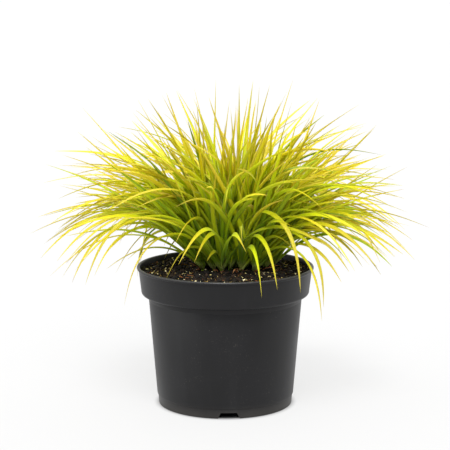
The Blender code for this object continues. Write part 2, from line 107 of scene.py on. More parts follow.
# (base x, base y) from the crown's centre, (tip x, tip y, tip z), lean at the base in degrees,
# width; lengths in mm.
CHOSEN_LEAVES = [
    # the two broad ones at the far right
    ((38, -2), (177, -40, 147), 36, 6.6),
    ((36, 6), (189, -50, 179), 42, 6.2),
    # upright leaves at the top
    ((-16, 8), (-9, 5, 312), 2, 6.0),
    ((10, 2), (13, -5, 308), 3, 5.4),
    ((20, 12), (65, 34, 310), 6, 4.6),
    ((12, 16), (42, 12, 306), 4, 4.2),
    ((-26, 2), (-72, -12, 295), 6, 6.6),
    ((-22, 14), (-56, 18, 298), 8, 6.0),
    ((-4, 22), (-46, 34, 299), 4, 5.2),
    ((-36, 2), (-134, -12, 287), 31, 6.4),
    ((36, 2), (142, -12, 271), 33, 6.0),
    ((16, -4), (88, 22, 293), 6, 5.4),
    ((28, -8), (88, -14, 295), 16, 5.4),
    ((22, 22), (130, 44, 285), 12, 4.2),
    ((-10, 30), (-30, 46, 301), 4, 4.4),
    # left side
    ((-34, -4), (-151, -30, 244), 30, 6.6),
    ((-36, -12), (-147, -54, 233), 38, 5.8),
    ((-38, 8), (-186, 58, 171), 44, 5.2),
    ((-32, -14), (-169, -42, 162), 34, 4.8),
    ((-34, 16), (-166, 48, 171), 36, 4.6),
    ((-30, -18), (-152, -46, 131), 36, 5.0),
    ((-20, -18), (-128, -72, 130), 24, 5.6),
    ((-36, -8), (-112, -32, 136), 54, 4.6),
    ((-22, -18), (-92, -84, 113), 36, 6.0),
    ((-30, 20), (-176, 34, 209), 26, 4.4),
    # front
    ((-22, -16), (-54, -76, 136), 40, 5.4),
    ((-14, -10), (-46, -88, 169), 16, 6.2),
    ((-6, -18), (-28, -88, 154), 24, 5.6),
    ((-12, -20), (-17, -46, 147), 16, 4.6),
    ((2, -26), (33, -96, 122), 38, 5.4),
    ((8, -20), (47, -94, 129), 26, 5.4),
    ((0, -18), (68, -90, 126), 14, 6.2),
    ((18, -22), (64, -74, 161), 24, 5.6),
    ((24, -18), (88, -84, 98), 48, 6.4),
    ((22, -12), (90, -74, 109), 30, 5.8),
    ((32, -14), (107, -64, 130), 44, 5.0),
    # right side
    ((30, -10), (115, -48, 137), 34, 6.0),
    ((36, -8), (135, -42, 142), 36, 5.0),
    ((30, 12), (154, 22, 239), 26, 5.0),
    ((36, 14), (166, 40, 208), 36, 4.8),
    ((38, 10), (180, 34, 167), 48, 4.6),
    ((34, 20), (160, 26, 135), 48, 4.4),
    # back
    ((-14, 36), (-64, 172, 197), 32, 5.6),
    ((10, 38), (34, 175, 181), 38, 5.6),
    ((-2, 38), (-12, 150, 247), 26, 5.8),
    ((26, 30), (104, 140, 161), 40, 5.4),
    ((-28, 28), (-118, 128, 151), 40, 5.4),
    ((16, 32), (52, 118, 129), 44, 5.0),
    ((8, -26), (14, -172, 187), 44, 5.2),
    ((-10, -24), (-40, -166, 167), 44, 5.2),
]

# ---------------------------------------------------------------- leaf detail
LEAVES_IN_SHOOT = 18
FILLER_TRIES = 200
UPRIGHT_AT_CENTRE = 0.68        # how many of the leaves between the solid ones stand upright
UPRIGHT_LOST = 0.52             # how much that share falls by at the crown's edge
ARCHING_SHARE = 0.78            # of those that don't; the others bend right over
SOLID_FREEDOM = 0.35            # how much a leaf may differ from the plain path, 1 for the others
LEAF_STEPS = 26
BRACT_STEPS = 9
HALF_POINTS = 3                 # points on each side of the keel, on either face
LEAF_THICKNESS = 0.42 * MM
RIB_HEIGHT = 0.06 * MM
BRACTS_IN_SHOOT = 3
LEAF_FOLD = 62.0                # degrees, of each half of a leaf at its foot
BRACT_FOLD = 60.0
BRACT_TONE = -1.0
SHOOT_SEED = 900

# ---------------------------------------------------------------- dry bits at the crown
SHEATH_BASE = Vector((11.0, -24.0, 131.4)) * MM
SHEATH_TURN = math.radians(-110)
SHEATH_LENGTH = 15.0 * MM
SHEATH_WIDTH = 2.6 * MM
STRANDS = 9
STRAW_FOLD = 50.0

# ---------------------------------------------------------------- studio
FLOOR_HALF_SIZE = 60.0
FLOOR_DROP = 0.2 * MM
FLOOR_GLOW = 0.70
# The floor round the pot's foot is left darker than the rest, as a painted contact shadow.
FLOOR_GLOW_EDGE = 6.0 * MM      # the glow starts this far inside the foot and is full as far outside
BACKGROUND = 0.975
SUN_DISTANCE = 2.0
CAMERA_PLACE = (-0.00026, -1.529, 0.431)
CAMERA_DOWN = math.radians(9.57)
CAMERA_LENS = 129.6

# ---------------------------------------------------------------- general helpers


def link(obj):
    bpy.context.scene.collection.objects.link(obj)
    return obj


def evaluated_mesh(obj):
    bpy.context.view_layer.update()
    graph = bpy.context.evaluated_depsgraph_get()
    return bpy.data.meshes.new_from_object(obj.evaluated_get(graph))


def remove(obj):
    bpy.data.objects.remove(obj, do_unlink=True)


def smooth(mesh, angle=40.0):
    mesh.shade_smooth()
    mesh.set_sharp_from_angle(angle=math.radians(angle))


def finished(name, mesh, material, slot, *nodes):
    """A piece of the object: placed, riding on the body and standing for its CAD nodes."""
    mesh.materials.clear()
    mesh.materials.append(material)
    obj = link(bpy.data.objects.new(name, mesh))
    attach(obj, BODY)
    if nodes:
        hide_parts(*nodes)
    return obj


def set_floats(mesh, name, values):
    mesh.attributes.new(name, "FLOAT", "POINT").data.foreach_set("value", values)


def arc(centre, radius, start, end, count):
    points = []
    for i in range(count + 1):
        angle = math.radians(start + (end - start) * i / count)
        points.append((centre[0] + radius * math.cos(angle), centre[1] + radius * math.sin(angle)))
    return points


# ---------------------------------------------------------------- shader helpers


class Nodes:
    """A material's node tree, with short calls for the nodes used here."""

    def __init__(self, name):
        self.material = bpy.data.materials.new(name)
        self.material.use_nodes = True
        self.tree = self.material.node_tree
        self.shader = self.tree.nodes["Principled BSDF"]
        self.output = self.tree.nodes["Material Output"]

    def add(self, kind, **settings):
        node = self.tree.nodes.new(kind)
        for key, value in settings.items():
            setattr(node, key, value)
        return node

    def join(self, source, target):
        self.tree.links.new(source, target)

    def feed(self, socket, value):
        if isinstance(value, (int, float)):
            socket.default_value = value
        elif isinstance(value, tuple):
            socket.default_value = (*value, 1.0) if len(value) == 3 else value
        else:
            self.join(value, socket)

    def attribute(self, name):
        return self.add("ShaderNodeAttribute", attribute_name=name).outputs["Fac"]

    def position(self, scale=(1.0, 1.0, 1.0)):
        mapping = self.add("ShaderNodeMapping")
        mapping.inputs["Scale"].default_value = scale
        self.join(self.add("ShaderNodeTexCoord").outputs["Object"], mapping.inputs["Vector"])
        return mapping.outputs["Vector"]

    def vector(self, x, y, z):
        node = self.add("ShaderNodeCombineXYZ")
        for socket, value in zip(node.inputs, (x, y, z)):
            self.feed(socket, value)
        return node.outputs["Vector"]

    def noise(self, vector, scale, detail=4.0, roughness=0.55):
        node = self.add("ShaderNodeTexNoise")
        self.join(vector, node.inputs["Vector"])
        node.inputs["Scale"].default_value = scale
        node.inputs["Detail"].default_value = detail
        node.inputs["Roughness"].default_value = roughness
        return node.outputs["Fac"]

    def math(self, operation, a, b=0.0):
        node = self.add("ShaderNodeMath", operation=operation)
        self.feed(node.inputs[0], a)
        self.feed(node.inputs[1], b)
        return node.outputs["Value"]

    def spread(self, value, low, high, to_low=0.0, to_high=1.0):
        node = self.add("ShaderNodeMapRange", clamp=True, interpolation_type="SMOOTHSTEP")
        self.feed(node.inputs["Value"], value)
        self.feed(node.inputs["From Min"], low)
        self.feed(node.inputs["From Max"], high)
        self.feed(node.inputs["To Min"], to_low)
        self.feed(node.inputs["To Max"], to_high)
        return node.outputs["Result"]

    def ramp(self, value, *stops):
        node = self.add("ShaderNodeValToRGB")
        self.feed(node.inputs["Fac"], value)
        elements = node.color_ramp.elements
        while len(elements) < len(stops):
            elements.new(0.5)
        for element, (place, colour) in zip(elements, stops):
            element.position = place
            element.color = (*colour, 1.0)
        return node.outputs["Color"]

    def mix(self, factor, a, b, blend="MIX"):
        node = self.add("ShaderNodeMix", data_type="RGBA", blend_type=blend)
        self.feed(node.inputs["Factor"], factor)
        self.feed(node.inputs[6], a)
        self.feed(node.inputs[7], b)
        return node.outputs[2]

    def bump(self, height, strength, distance, normal=None):
        node = self.add("ShaderNodeBump")
        self.join(height, node.inputs["Height"])
        node.inputs["Strength"].default_value = strength
        node.inputs["Distance"].default_value = distance
        if normal:
            self.join(normal, node.inputs["Normal"])
        return node.outputs["Normal"]

    def surface(self, colour=None, roughness=None, normal=None, constants=None):
        if colour is not None:
            self.feed(self.shader.inputs["Base Color"], colour)
        if roughness is not None:
            self.feed(self.shader.inputs["Roughness"], roughness)
        if normal is not None:
            self.join(normal, self.shader.inputs["Normal"])
        for key, value in (constants or {}).items():
            self.shader.inputs[key].default_value = value
        return self.material


def srgb(text):
    """A linear colour from six hex digits."""
    values = [int(text[i : i + 2], 16) / 255 for i in (0, 2, 4)]
    return tuple(v / 12.92 if v <= 0.04045 else ((v + 0.055) / 1.055) ** 2.4 for v in values)


# ---------------------------------------------------------------- leaf geometry, as part.py


def bend(lean, droop, steps):
    points = [(0.0, 0.0)]
    for i in range(steps):
        share = (i + 0.5) / steps
        angle = lean + droop * share**2 * (3.0 - 2.0 * share)
        out, up = points[-1]
        points.append((out + math.sin(angle) / steps, up + math.cos(angle) / steps))
    return points


def droop_to_reach(lean, out, up):
    target = math.atan2(out, up)
    low, high = math.radians(-60), math.radians(230)
    for _ in range(40):
        droop = (low + high) / 2
        end = bend(lean, droop, 40)[-1]
        if math.atan2(end[0], end[1]) < target:
            low = droop
        else:
            high = droop
    return droop, math.hypot(out, up) / math.hypot(*end)


def leaf_place(leaf):
    base, azimuth = leaf[:2]
    start = Vector((LEAF_START_OUT, 0.0, -LEAF_START_OUT * math.cos(3 * azimuth)))
    turn = Matrix.Rotation(azimuth, 4, "Z")
    return Matrix.Translation(base) @ turn @ Matrix.Translation(start)


def leaf_curve(leaf, steps):
    _, _, lean, droop, length, _ = leaf
    return [Vector((x * length, 0.0, z * length)) for x, z in bend(lean, droop, steps)]


def leaf_path(leaf, steps):
    place = leaf_place(leaf)
    return [place @ point for point in leaf_curve(leaf, steps)]


def leaf_width(share):
    return min(1.0, 0.55 + 1.6 * share) * (1.0 - 0.96 * share**2.4)


def sweep(path, radii, section):
    curve = bpy.data.curves.new("sweep", "CURVE")
    curve.dimensions = "3D"
    curve.twist_mode = "MINIMUM"
    curve.use_fill_caps = True
    curve.bevel_mode = "OBJECT"
    curve.bevel_object = section
    spline = curve.splines.new("POLY")
    spline.points.add(len(path) - 1)
    for point, co, radius in zip(spline.points, path, radii):
        point.co = (*co, 1.0)
        point.radius = radius
    obj = link(bpy.data.objects.new("sweep", curve))
    mesh = evaluated_mesh(obj)
    remove(obj)
    bpy.data.curves.remove(curve)
    shape = bmesh.new()
    shape.from_mesh(mesh)
    bpy.data.meshes.remove(mesh)
    bmesh.ops.remove_doubles(shape, verts=shape.verts, dist=0.000001)
    return shape


def clear_section():
    curve = bpy.data.curves.new("clear_section", "CURVE")
    curve.dimensions = "2D"
    spline = curve.splines.new("POLY")
    spline.points.add(3)
    for point, (x, y) in zip(spline.points, [(-0.5, 0.0), (0.0, -0.22), (0.5, 0.0), (0.0, 0.3)]):
        point.co = (x, y, 0.0, 1.0)
    spline.use_cyclic_u = True
    return link(bpy.data.objects.new("clear_section", curve))


def clearance_tree(leaf, section):
    steps = 5 + int(abs(math.degrees(leaf[3])) / 45)
    radii = [leaf[5] * leaf_width(i / steps) + CLEARANCE for i in range(steps + 1)]
    shape = sweep(leaf_curve(leaf, steps), radii, section)
    bmesh.ops.recalc_face_normals(shape, faces=shape.faces)
    shape.transform(leaf_place(leaf))
    tree = BVHTree.FromBMesh(shape)
    shape.free()
    return tree


def crown_spots():
    spots = []
    for i in range(SHOOTS):
        share = math.sqrt((i + 0.5) / SHOOTS)
        angle = i * GOLDEN_ANGLE
        x = CROWN_RADIUS_X * share * math.cos(angle)
        y = CROWN_RADIUS_Y * share * math.sin(angle)
        spots.append((CROWN_CENTRE + Vector((x, y, LEAF_START_Z)), share, math.atan2(y, x)))
    return spots


def nearest_shoots(spots, record):
    wanted = CROWN_CENTRE.xy + Vector(record[0]) * MM
    order = sorted(range(len(spots)), key=lambda i: (spots[i][0].xy - wanted).length)
    return order[:CHOSEN_TRIES]


def chosen_leaf(base, record):
    _, tip, lean, width = record
    reach = Vector(tip) * MM - base
    lean = math.radians(lean)
    droop, length = droop_to_reach(lean, reach.xy.length, reach.z)
    azimuth = math.atan2(reach.y, reach.x)
    return (base, azimuth, lean, droop, length, width * MM)


def grown_leaf(spot, share, angle, draw):
    age = draw.random()
    azimuth = angle + draw.gauss(0.0, math.radians(62 - 34 * share))
    lean = math.radians(max(2.0, 2 + 50 * share**1.2 + 12 * (age - 0.5) + draw.gauss(0, 4)))
    droop = math.radians(16 + 100 * age * (0.4 + 0.6 * share) + draw.gauss(0, 8))
    length = (150 + 60 * draw.random() + 20 * share * age) * MM
    width = draw.uniform(4.2, 6.0) * MM
    return (spot, azimuth, lean, droop, length, width)


def inside_clump(leaf):
    for point in leaf_path(leaf, 24):
        end_z = CLUMP_TOP_Z if point.z > CLUMP_WIDEST_Z else LOWEST_TIP_Z
        rise = (point.z - CLUMP_WIDEST_Z) / (end_z - CLUMP_WIDEST_Z)
        if abs(point.x / SPREAD_X) ** 2.5 + abs(point.y / SPREAD_Y) ** 2.5 + rise**2.5 > 1.0:
            return False
    return True


def clear_of_pot(leaf):
    reach = leaf[5] / 2 + RIM_CLEARANCE
    for point in leaf_path(leaf, 60):
        outside = point.xy.length > RIM_RADIUS + reach
        if point.z < POT_HEIGHT + reach and not outside:
            within = point.xy.length < BAND_LOW_RADIUS - WALL - reach
            if not within or point.z < SOIL_CROWN_Z + 0.6 * MM:
                return False
    return True


def apart_from_sisters(leaf, sisters):
    path = leaf_path(leaf, 30)
    for sister in sisters:
        other = leaf_path(sister, 30)
        for i in range(6, 31):
            for j in range(6, 31):
                if (path[i] - other[j]).length < 4.5 * MM:
                    return False
    return True


def solid_leaves(spots):
    """The leaves that the CAD shoots carry, found the same way as in part.py."""
    section = clear_section()
    chosen = [[] for _ in spots]
    taken = []

    def accept(index, leaf):
        tree = clearance_tree(leaf, section)
        for other_index, other in taken:
            if other_index != index and tree.overlap(other):
                return False
        taken.append((index, tree))
        chosen[index].append(leaf)
        return True

    for record in CHOSEN_LEAVES:
        for index in nearest_shoots(spots, record):
            leaf = chosen_leaf(spots[index][0], record)
            fits = len(chosen[index]) < MOST_LEAVES and clear_of_pot(leaf)
            if fits and apart_from_sisters(leaf, chosen[index]) and accept(index, leaf):
                break
    draws = [random.Random(200 + i) for i in range(len(spots))]
    for goal in range(1, LEAST_LEAVES + 1):
        for index, (spot, share, angle) in enumerate(spots):
            for _ in range(LEAF_TRIES):
                if len(chosen[index]) >= goal:
                    break
                leaf = grown_leaf(spot, share, angle, draws[index])
                fits = inside_clump(leaf) and clear_of_pot(leaf)
                if fits and apart_from_sisters(leaf, chosen[index]):
                    accept(index, leaf)
    remove(section)
    return chosen


# ---------------------------------------------------------------- leaves in full


def filler_leaf(spot, share, angle, draw):
    """One of the many leaves between the solid ones: upright, arching, or bent right over."""
    azimuth = angle + draw.gauss(0.0, math.radians(130 - 90 * share))
    facing = max(0.0, -math.sin(azimuth)) ** 3
    kind = draw.random()
    upright = UPRIGHT_AT_CENTRE - UPRIGHT_LOST * share
    if kind < upright:
        lean = 2 + 32 * share**1.2 + abs(draw.gauss(0, 8))
        droop = draw.uniform(10, 58)
        length = draw.uniform(120, 190) * MM
    elif kind < upright + ARCHING_SHARE * (1.0 - upright) + facing:
        lean = 3 + 34 * share**1.2 + draw.gauss(0, 8)
        droop = draw.uniform(45, 112)
        length = draw.uniform(115, 215) * MM
    else:
        lean = 6 + 26 * share + draw.gauss(0, 5)
        droop = draw.uniform(95, 150)
        length = draw.uniform(110, 190) * MM
    lean = math.radians(max(2.0, lean * (1.0 - 0.5 * facing)))
    width = draw.uniform(4.2, 6.4) * MM
    start = spot + Vector((draw.uniform(-1.4, 1.4), draw.uniform(-1.4, 1.4), -2.0)) * MM
    return (start, azimuth, lean, math.radians(droop * (1.0 - 0.4 * facing)), length, width)


def bract(spot, draw, turn):
    """A short pale scale leaf that wraps the foot of a shoot."""
    start = spot + Vector((0.0, 0.0, -4.5)) * MM
    lean = math.radians(draw.uniform(3, 12))
    length = draw.uniform(14, 30) * MM
    return (start, turn, lean, math.radians(draw.uniform(0, 10)), length, draw.uniform(4.0, 5.2) * MM)


def section_points():
    """Places round a leaf's section: (share of half width, 1 on the upper face or -1)."""
    count = 2 * HALF_POINTS
    upper = [(-1.0 + i / HALF_POINTS, 1.0) for i in range(count + 1)]
    lower = [(1.0 - i / HALF_POINTS, -1.0) for i in range(1, count)]
    return np.array(upper + lower)


SECTION = section_points()


def blade_width(share):
    """Share of a leaf's full width: a narrow foot, even most of the way, then a long fine point."""
    return min(1.0, 0.62 + 2.2 * share) * (1.0 - 0.985 * share**2.8)


def leaf_grid(leaf, draw, steps, fold_base, twist, sway):
    """Points of a leaf as an array (steps + 1, section points, 3)."""
    _, _, lean, droop, length, width = leaf
    share = np.linspace(0.0, 1.0, steps + 1)
    keel = np.array(bend(lean, droop, steps)) * length
    angle = lean + droop * share**2 * (3.0 - 2.0 * share)
    zero = np.zeros_like(angle)
    side = np.stack([zero, zero + 1.0, zero], 1)
    normal = np.stack([-np.cos(angle), zero, np.sin(angle)], 1)
    turn = twist * share**0.8 + 0.12 * np.sin(share * math.tau * draw.uniform(0.8, 1.6)) * share
    side_t = side * np.cos(turn)[:, None] + normal * np.sin(turn)[:, None]
    normal_t = normal * np.cos(turn)[:, None] - side * np.sin(turn)[:, None]
    half = 0.53 * width * np.array([blade_width(s) for s in share])
    fold = np.radians(30.0 + (fold_base - 30.0) * np.exp(-share / 0.10) - 8.0 * share**2)
    across, face = SECTION[:, 0], SECTION[:, 1]
    edge = np.abs(across) > 0.999
    lift = np.sqrt(across**2 + 0.03) - math.sqrt(0.03)
    ribs = np.where(np.arange(len(across)) % 2 == 0, RIB_HEIGHT, -RIB_HEIGHT)
    thick = LEAF_THICKNESS * (0.30 + 0.70 * (1.0 - np.abs(across)) ** 1.5) * np.where(face > 0, 0.3, -0.7)
    relief = np.where(edge, 0.0, thick + ribs)
    fine = np.clip(half / (1.6 * MM), 0.05, 1.0)[:, None]
    wide = half[:, None] * across[None, :] * np.cos(fold)[:, None]
    high = half[:, None] * lift[None, :] * np.sin(fold)[:, None] + relief[None, :] * fine
    wave = sway * length * np.sin(math.pi * share) ** 2
    points = np.stack([keel[:, 0], wave, keel[:, 1]], 1)[:, None, :]
    points = points + side_t[:, None, :] * wide[:, :, None] + normal_t[:, None, :] * high[:, :, None]
    place = np.array(leaf_place(leaf))
    return points @ place[:3, :3].T + place[:3, 3]


def grid_faces(steps, offset):
    """Faces of one leaf grid with its two end caps, and each corner's place: (section, step)."""
    ring = len(SECTION)
    faces = []
    corners = []
    for i in range(steps):
        low, high = offset + i * ring, offset + (i + 1) * ring
        for j in range(ring):
            k = (j + 1) % ring
            faces.append((low + j, low + k, high + k, high + j))
            corners += [(j, i), (j + 1, i), (j + 1, i + 1), (j, i + 1)]
    faces.append(tuple(offset + j for j in reversed(range(ring))))
    corners += [(j, 0) for j in reversed(range(ring))]
    faces.append(tuple(offset + steps * ring + j for j in range(ring)))
    corners += [(j, steps) for j in range(ring)]
    return faces, corners


def leaves_mesh(name, grids, tones, hues):
    """One mesh of many leaves, with the numbers its material reads and a sheet for the bake."""
    ring = len(SECTION)
    points, faces, sheet, along, tone, hue = [], [], [], [], [], []
    total = 0
    for number, grid in enumerate(grids):
        rows = len(grid)
        own, corners = grid_faces(rows - 1, total)
        faces += own
        points.append(grid.reshape(-1, 3))
        for j, i in corners:
            u = (number + 0.04 + 0.92 * j / ring) / len(grids)
            sheet.append((u, 0.01 + 0.98 * i / (rows - 1)))
        along.append(np.repeat(np.linspace(0.0, 1.0, rows), ring))
        tone.append(np.full(rows * ring, tones[number]))
        hue.append(np.full(rows * ring, hues[number]))
        total += rows * ring
    mesh = bpy.data.meshes.new(name)
    mesh.from_pydata(np.concatenate(points).tolist(), [], faces)
    set_floats(mesh, "along", np.concatenate(along))
    set_floats(mesh, "across", np.tile(SECTION[:, 0], total // ring))
    set_floats(mesh, "under", np.tile((SECTION[:, 1] < 0).astype(float), total // ring))
    set_floats(mesh, "tone", np.concatenate(tone))
    set_floats(mesh, "hue", np.concatenate(hue))
    layer = mesh.uv_layers.new(name="OFBake")
    layer.data.foreach_set("uv", np.array(sheet).ravel())
    mesh.shade_smooth()
    return mesh


def build_shoots(material):
    spots = crown_spots()
    solid = solid_leaves(spots)
    for index, (spot, share, angle) in enumerate(spots):
        draw = random.Random(SHOOT_SEED + index)
        leaves = [(leaf, SOLID_FREEDOM) for leaf in solid[index]]
        tries = 0
        while len(leaves) < LEAVES_IN_SHOOT and tries < FILLER_TRIES:
            tries += 1
            leaf = filler_leaf(spot, share, angle, draw)
            if inside_clump(leaf) and clear_of_pot(leaf):
                leaves.append((leaf, 1.0))
        grids = []
        tones = []
        hues = []
        for leaf, freedom in leaves:
            facing = max(0.0, -math.sin(leaf[1])) ** 6
            twist = draw.uniform(0.25, 1.15) * draw.choice((-1, 1)) * (0.6 + 0.4 * freedom)
            twist += math.copysign(0.7, twist) * facing
            sway = draw.gauss(0.0, 0.018) * freedom
            grids.append(leaf_grid(leaf, draw, LEAF_STEPS, LEAF_FOLD, twist, sway))
            if freedom < 1.0:
                tones.append(draw.uniform(0.5, 1.0) - 0.5 * facing)
                hues.append(draw.random() * 0.8)
            else:
                tones.append(draw.random())
                hues.append(draw.random())
        for i in range(BRACTS_IN_SHOOT):
            turn = angle + math.tau * i / BRACTS_IN_SHOOT + draw.gauss(0, 0.3)
            grids.append(leaf_grid(bract(spot, draw, turn), draw, BRACT_STEPS, BRACT_FOLD, 0.0, 0.0))
            tones.append(BRACT_TONE)
            hues.append(draw.random())
        name = f"shoot_{index + 1:02d}"
        mesh = leaves_mesh(name + "_leaves", grids, tones, hues)
        finished(name + "_leaves", mesh, material, "grass_leaf", name)


def leaf_material():
    """Golden grass: pale foot, green lower part, lime and then gold towards the tip."""
    n = Nodes("grass_leaf_gold")
    along, across = n.attribute("along"), n.attribute("across")
    under, tone, hue = n.attribute("under"), n.attribute("tone"), n.attribute("hue")
    crosswise = n.math("MULTIPLY", across, 5.0)
    lengthwise = n.math("MULTIPLY", along, 1.4)
    lines = n.vector(crosswise, lengthwise, n.math("MULTIPLY", hue, 37.0))
    streak = n.noise(lines, 2.6, 3.0)
    blotch = n.noise(n.position(), 55.0, 3.0)
    age = n.math("ADD", along, n.math("MULTIPLY", n.math("SUBTRACT", tone, 0.5), 0.42))
    age = n.math("ADD", age, n.math("MULTIPLY", n.math("SUBTRACT", streak, 0.5), 0.38))
    age = n.math("ADD", age, n.math("MULTIPLY", n.math("SUBTRACT", blotch, 0.5), 0.14))
    age = n.math("SUBTRACT", age, n.math("MULTIPLY", under, 0.06))
    gold = n.ramp(
        age,
        (0.00, srgb("8cb008")),
        (0.14, srgb("b2ca08")),
        (0.32, srgb("d2de0a")),
        (0.52, srgb("e2e80e")),
        (0.72, srgb("ebdf20")),
        (1.00, srgb("eede54")),
    )
    edge = n.spread(n.math("ABSOLUTE", across), 0.55, 0.95)
    green_middle = n.math("MULTIPLY", n.spread(hue, 0.84, 0.97), n.math("SUBTRACT", 1.0, edge))
    greener = n.mix(green_middle, gold, srgb("9cbc0c"))
    foot = n.spread(along, 0.012, 0.08)
    colour = n.mix(foot, srgb("c9d478"), greener)
    vein = n.math("SINE", n.math("MULTIPLY", across, 19.0))
    lined = n.math("MULTIPLY", n.spread(vein, -0.2, 0.9), n.spread(streak, 0.35, 0.65, 0.10, 0.42))
    colour = n.mix(lined, colour, n.mix(1.0, colour, (0.74, 0.78, 0.5), "MULTIPLY"))
    shade = n.math("ADD", 0.80, n.math("MULTIPLY", n.math("FRACT", n.math("MULTIPLY", hue, 7.3)), 0.34))
    colour = n.mix(1.0, colour, n.vector(shade, shade, shade), "MULTIPLY")
    dry = n.math("MULTIPLY", n.spread(along, 0.955, 0.995), n.spread(hue, 0.02, 0.20, 1.0, 0.0))
    colour = n.mix(dry, colour, srgb("b08a4a"))
    height = n.math("ADD", n.math("MULTIPLY", vein, 0.5), n.math("MULTIPLY", streak, 0.6))
    normal = n.bump(height, 0.35, 0.00012)
    rough = n.spread(streak, 0.25, 0.75, 0.36, 0.54)
    n.surface(colour, rough, normal, {"Specular IOR Level": 0.5, "Sheen Weight": 0.08})
    back = n.add("ShaderNodeBsdfTranslucent")
    n.join(n.mix(1.0, colour, (1.0, 1.0, 0.5), "MULTIPLY"), back.inputs["Color"])
    n.join(normal, back.inputs["Normal"])
    both = n.add("ShaderNodeMixShader")
    both.inputs["Fac"].default_value = 0.46
    n.join(n.shader.outputs["BSDF"], both.inputs[1])
    n.join(back.outputs["BSDF"], both.inputs[2])
    n.join(both.outputs["Shader"], n.output.inputs["Surface"])
    return n.material


# ---------------------------------------------------------------- the pot


def pot_outline():
    """The pot's half section, with every corner rounded as moulded plastic is."""
    shelf = BAND_UNDERSIDE + WALL
    bead = (RIM_RADIUS - LIP_BEAD_RADIUS, POT_HEIGHT - LIP_BEAD_RADIUS)
    low_inner = (BODY_LOW_RADIUS - WALL - 3.0 * MM, FLOOR_TOP + 3.0 * MM)
    inside = [(0.0, FLOOR_TOP)] + arc(low_inner, 3.0 * MM, -90, -4, 6)
    inside += arc((BODY_TOP_RADIUS - WALL + 1.2 * MM, shelf - 1.0 * MM), 1.2 * MM, 176, 92, 4)
    inside += arc((BAND_LOW_RADIUS - WALL - 1.6 * MM, shelf + 1.7 * MM), 1.5 * MM, -86, -4, 4)
    inside += [(BAND_TOP_RADIUS - WALL, POT_HEIGHT - 2.6 * MM)]
    lip = [(BAND_TOP_RADIUS - WALL + 0.3 * MM, POT_HEIGHT - 0.9 * MM)]
    lip += arc(bead, LIP_BEAD_RADIUS, 104, -80, 10)
    lip += arc((BAND_TOP_RADIUS + 0.5 * MM, POT_HEIGHT - 3.6 * MM), 0.5 * MM, 90, 178, 4)
    corner = (BAND_LOW_RADIUS - BAND_CORNER, BAND_UNDERSIDE + BAND_CORNER)
    band = arc(corner, BAND_CORNER, 4, -90, 9)
    under = arc((BODY_TOP_RADIUS + 1.0 * MM, BAND_UNDERSIDE - 1.0 * MM), 1.0 * MM, 92, 180, 5)
    line_z = BAND_UNDERSIDE - MOULD_LINE_DEPTH
    slope = (BODY_TOP_RADIUS - BODY_LOW_RADIUS) / (BAND_UNDERSIDE - FOOT_TOP)
    line_r = BODY_TOP_RADIUS - slope * MOULD_LINE_DEPTH
    mould_line = [
        (line_r + 0.02 * MM, line_z + 0.25 * MM),
        (line_r - 0.10 * MM, line_z),
        (line_r - 0.02 * MM, line_z - 0.25 * MM),
    ]
    foot = arc((BODY_LOW_RADIUS - 0.5 * MM, FOOT_TOP + 0.9 * MM), 0.5 * MM, 0, -88, 4)
    foot += arc((FOOT_TOP_RADIUS + 0.25 * MM, FOOT_TOP + 0.12 * MM), 0.25 * MM, 100, 178, 3)
    foot += arc((FOOT_RADIUS - 0.4 * MM, 0.4 * MM), 0.4 * MM, 4, -90, 4)
    ring = arc((FOOT_RADIUS - FOOT_RING_WIDTH + 0.4 * MM, 0.4 * MM), 0.4 * MM, -90, -178, 4)
    ring += arc((FOOT_RADIUS - FOOT_RING_WIDTH - 0.8 * MM, FLOOR_UNDERSIDE - 0.6 * MM), 0.6 * MM, 0, 90, 4)
    return inside + lip + band + under + mould_line + foot + ring + [(0.0, FLOOR_UNDERSIDE)]


def turned(outline, steps):
    mesh = bpy.data.meshes.new("turned")
    edges = [(i, i + 1) for i in range(len(outline) - 1)]
    mesh.from_pydata([(r, 0.0, z) for r, z in outline], edges, [])
    obj = link(bpy.data.objects.new("turned", mesh))
    screw = obj.modifiers.new("Turn", "SCREW")
    screw.angle = math.tau
    screw.steps = screw.render_steps = steps
    screw.use_merge_vertices = True
    screw.merge_threshold = 0.00001
    return obj


def block_cutter(name, shape):
    bmesh.ops.recalc_face_normals(shape, faces=shape.faces)
    mesh = bpy.data.meshes.new(name)
    shape.to_mesh(mesh)
    shape.free()
    return link(bpy.data.objects.new(name, mesh))


def notch_blocks():
    """Trapezoid wedges for the drainage notches in the foot."""
    shape = bmesh.new()
    top, low = FLOOR_UNDERSIDE - 0.3 * MM, -2.0 * MM
    flare = (NOTCH_LOW_WIDTH - NOTCH_TOP_WIDTH) / 2 / top
    middle = FOOT_RADIUS - FOOT_RING_WIDTH / 2
    for i in range(NOTCHES):
        made = bmesh.ops.create_cube(shape, size=1.0)["verts"]
        turn = Matrix.Rotation(NOTCH_FIRST_ANGLE + math.tau * i / NOTCHES, 4, "Z")
        for vert in made:
            z = top if vert.co.z > 0 else low
            half = NOTCH_TOP_WIDTH / 2 + flare * (top - z)
            x = middle + (4.0 if vert.co.x > 0 else -4.0) * MM
            vert.co = turn @ Vector((x, half if vert.co.y > 0 else -half, z))
    return block_cutter("notch_blocks", shape)


def hole_plugs():
    shape = bmesh.new()
    spots = [Vector((0.0, 0.0, 0.0))]
    for i in range(HOLES):
        angle = math.tau * (i + 0.5) / HOLES + NOTCH_FIRST_ANGLE
        spots.append(Vector((math.cos(angle), math.sin(angle), 0.0)) * HOLE_CIRCLE_RADIUS)
    for spot in spots:
        spot.z = (FLOOR_UNDERSIDE + FLOOR_TOP) / 2
        bmesh.ops.create_cone(
            shape,
            cap_ends=True,
            segments=40,
            radius1=HOLE_RADIUS,
            radius2=HOLE_RADIUS,
            depth=6.0 * MM,
            matrix=Matrix.Translation(spot),
        )
    return block_cutter("hole_plugs", shape)


